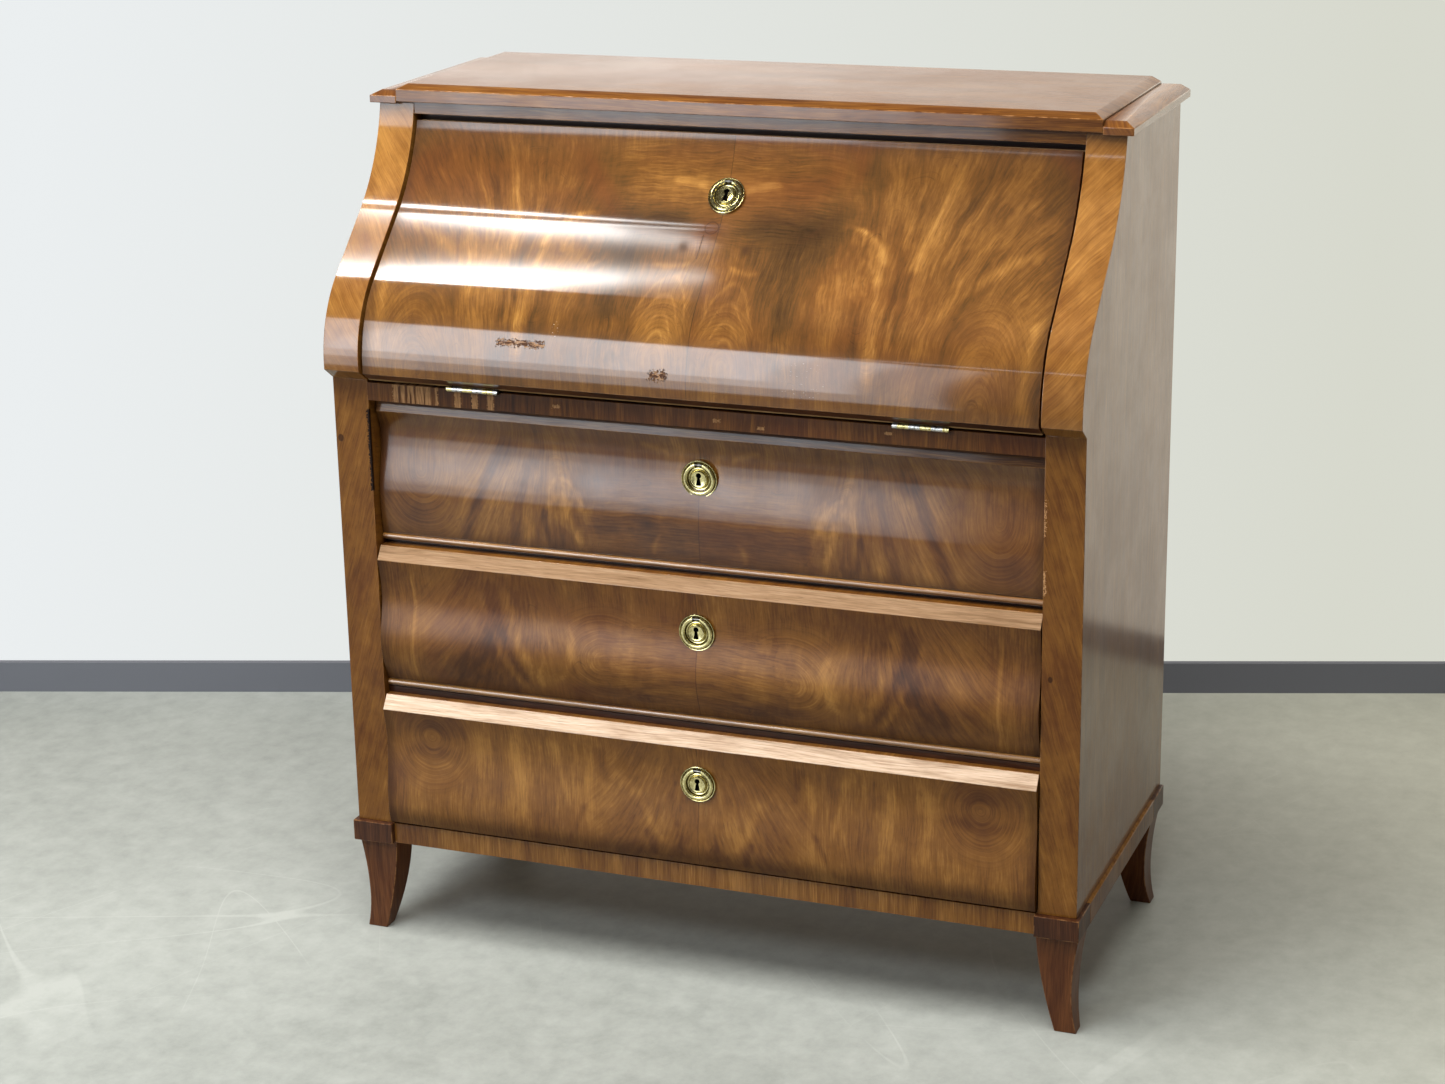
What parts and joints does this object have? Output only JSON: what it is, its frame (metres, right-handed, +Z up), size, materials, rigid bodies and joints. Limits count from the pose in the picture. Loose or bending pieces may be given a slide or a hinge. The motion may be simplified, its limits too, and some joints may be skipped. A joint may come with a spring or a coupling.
{
  "type": "secretary desk",
  "caption": "Free-standing secretary desk with a swept fall-front flap that opens to a writing surface, long drawers below, a fitted interior and sabre feet.",
  "frame": {"origin": "on the floor, under the middle of the overall width and depth", "axes": "+Z up, the front faces -Y, +X to the right as seen from the front"},
  "size_m": [1.02, 0.4946, 1.137],
  "materials": {
    "brass": "polished, a little worn",
    "hinge_brass": "dull",
    "steel": "dull, aged",
    "iron": "blackened, dry",
    "flap_veneer": "crotch mahogany veneer, high gloss shellac",
    "drawer_veneer": "crotch mahogany veneer, gloss shellac",
    "golden_mahogany": "straight-grained mahogany, gloss shellac",
    "writing_board": "plain mahogany, satin",
    "inner_mahogany": "plain mahogany, satin",
    "pine": "bare secondary wood, dry",
    "dark_mahogany": "dark mahogany, satin",
    "top_mahogany": "mahogany, worn satin shellac",
    "side_mahogany": "mahogany veneer, satin shellac",
    "mahogany": "mahogany, satin shellac"
  },
  "bodies": {
    "case": {"side_panel_left": "side_mahogany", "side_panel_right": "side_mahogany", "stile_left": "golden_mahogany", "stile_right": "golden_mahogany", "cheek_left": "golden_mahogany", "cheek_right": "golden_mahogany", "under_top_board": "dark_mahogany", "keeper_rail": "dark_mahogany", "top_board": "top_mahogany", "top_strips": "top_mahogany", "hinge_rail": "mahogany", "desk_floor": "pine", "writing_bed": "pine", "drawer_dividers": "dark_mahogany", "bottom_board": "pine", "drawer_runners": "pine", "back_panel": "pine", "plinth_rails": "mahogany", "plinth_blocks": "mahogany", "foot_front_left": "mahogany", "foot_front_right": "mahogany", "foot_rear_left": "mahogany", "foot_rear_right": "mahogany", "hinge_leaves_case": "steel", "hinge_pins": "steel", "stay_feet": "steel", "fitment_case": "inner_mahogany"},
    "flap": {"flap_shell": "flap_veneer", "flap_board": "writing_board", "flap_frame": "pine", "hinge_leaves_flap": "hinge_brass", "flap_escutcheon": "brass", "flap_lock": "iron", "stay_ears": "steel"},
    "flap_ring": {"flap_ring": "brass"},
    "flap_bolt": {"flap_bolt": "iron"},
    "stay_arm_left": {"stay_arm_left": "steel"},
    "stay_link_left": {"stay_link_left": "steel"},
    "small_drawer_left": {"small_drawer_left": "inner_mahogany"},
    "stay_arm_right": {"stay_arm_right": "steel"},
    "stay_link_right": {"stay_link_right": "steel"},
    "small_drawer_right": {"small_drawer_right": "inner_mahogany"},
    "upper_drawer": {"upper_drawer_front": "drawer_veneer", "upper_drawer_box": "pine", "upper_escutcheon": "brass", "upper_lock": "iron"},
    "upper_ring": {"upper_ring": "brass"},
    "upper_bolt": {"upper_bolt": "iron"},
    "middle_drawer": {"middle_drawer_front": "drawer_veneer", "middle_drawer_box": "pine", "middle_escutcheon": "brass", "middle_lock": "iron"},
    "middle_ring": {"middle_ring": "brass"},
    "middle_bolt": {"middle_bolt": "iron"},
    "low_drawer": {"low_drawer_front": "drawer_veneer", "low_drawer_box": "pine", "low_escutcheon": "brass", "low_lock": "iron"},
    "low_ring": {"low_ring": "brass"},
    "low_bolt": {"low_bolt": "iron"}
  },
  "joints": [
    {"name": "flap_hinge", "type": "hinge", "parent": "case", "child": "flap", "pos_m": [0, -0.23005, 0.77925], "axis": [-1, 0, 0], "range_deg": [-121.34, 0]},
    {"name": "flap_ring_drop", "type": "hinge", "parent": "flap", "child": "flap_ring", "pos_m": [0, -0.08389, 1.03642], "axis": [-1, 0, 0], "range_deg": [0, 85]},
    {"name": "flap_bolt_slide", "type": "slide", "parent": "flap", "child": "flap_bolt", "axis": [0, 0.5201, 0.8541], "range_m": [0, 0.019]},
    {"name": "stay_arm_left_fold", "type": "hinge", "parent": "case", "child": "stay_arm_left", "pos_m": [-0.4375, -0.06314, 0.8115], "axis": [-1, 0, 0], "range_deg": [-121.34, 0]},
    {"name": "stay_link_left_fold", "type": "hinge", "parent": "flap", "child": "stay_link_left", "pos_m": [-0.4425, -0.13815, 0.87335], "axis": [-1, 0, 0], "range_deg": [0, 121.34]},
    {"name": "stay_arm_right_fold", "type": "hinge", "parent": "case", "child": "stay_arm_right", "pos_m": [0.4375, -0.06314, 0.8115], "axis": [-1, 0, 0], "range_deg": [-121.34, 0]},
    {"name": "stay_link_right_fold", "type": "hinge", "parent": "flap", "child": "stay_link_right", "pos_m": [0.4425, -0.13815, 0.87335], "axis": [-1, 0, 0], "range_deg": [0, 121.34]},
    {"name": "upper_drawer_slide", "type": "slide", "parent": "case", "child": "upper_drawer", "axis": [0, -1, 0], "range_m": [0, 0.35]},
    {"name": "upper_ring_drop", "type": "hinge", "parent": "upper_drawer", "child": "upper_ring", "pos_m": [0, -0.20672, 0.7002], "axis": [-1, 0, 0], "range_deg": [0, 85]},
    {"name": "upper_bolt_slide", "type": "slide", "parent": "upper_drawer", "child": "upper_bolt", "axis": [0, 0, 1], "range_m": [0, 0.01]},
    {"name": "middle_drawer_slide", "type": "slide", "parent": "case", "child": "middle_drawer", "axis": [0, -1, 0], "range_m": [0, 0.35]},
    {"name": "middle_ring_drop", "type": "hinge", "parent": "middle_drawer", "child": "middle_ring", "pos_m": [0, -0.22615, 0.5027], "axis": [-1, 0, 0], "range_deg": [0, 85]},
    {"name": "middle_bolt_slide", "type": "slide", "parent": "middle_drawer", "child": "middle_bolt", "axis": [0, 0, 1], "range_m": [0, 0.01]},
    {"name": "low_drawer_slide", "type": "slide", "parent": "case", "child": "low_drawer", "axis": [0, -1, 0], "range_m": [0, 0.35]},
    {"name": "low_ring_drop", "type": "hinge", "parent": "low_drawer", "child": "low_ring", "pos_m": [0, -0.23356, 0.2987], "axis": [-1, 0, 0], "range_deg": [0, 85]},
    {"name": "low_bolt_slide", "type": "slide", "parent": "low_drawer", "child": "low_bolt", "axis": [0, 0, 1], "range_m": [0, 0.01]},
    {"name": "small_drawer_left_slide", "type": "slide", "parent": "case", "child": "small_drawer_left", "axis": [0, -1, 0], "range_m": [0, 0.135]},
    {"name": "small_drawer_right_slide", "type": "slide", "parent": "case", "child": "small_drawer_right", "axis": [0, -1, 0], "range_m": [0, 0.135]}
  ],
  "couplings": [
    {"joint": "stay_arm_left_fold", "follows": "flap_hinge", "ratio": 1},
    {"joint": "stay_arm_right_fold", "follows": "flap_hinge", "ratio": 1},
    {"joint": "stay_link_left_fold", "follows": "flap_hinge", "ratio": -1},
    {"joint": "stay_link_right_fold", "follows": "flap_hinge", "ratio": -1}
  ]
}
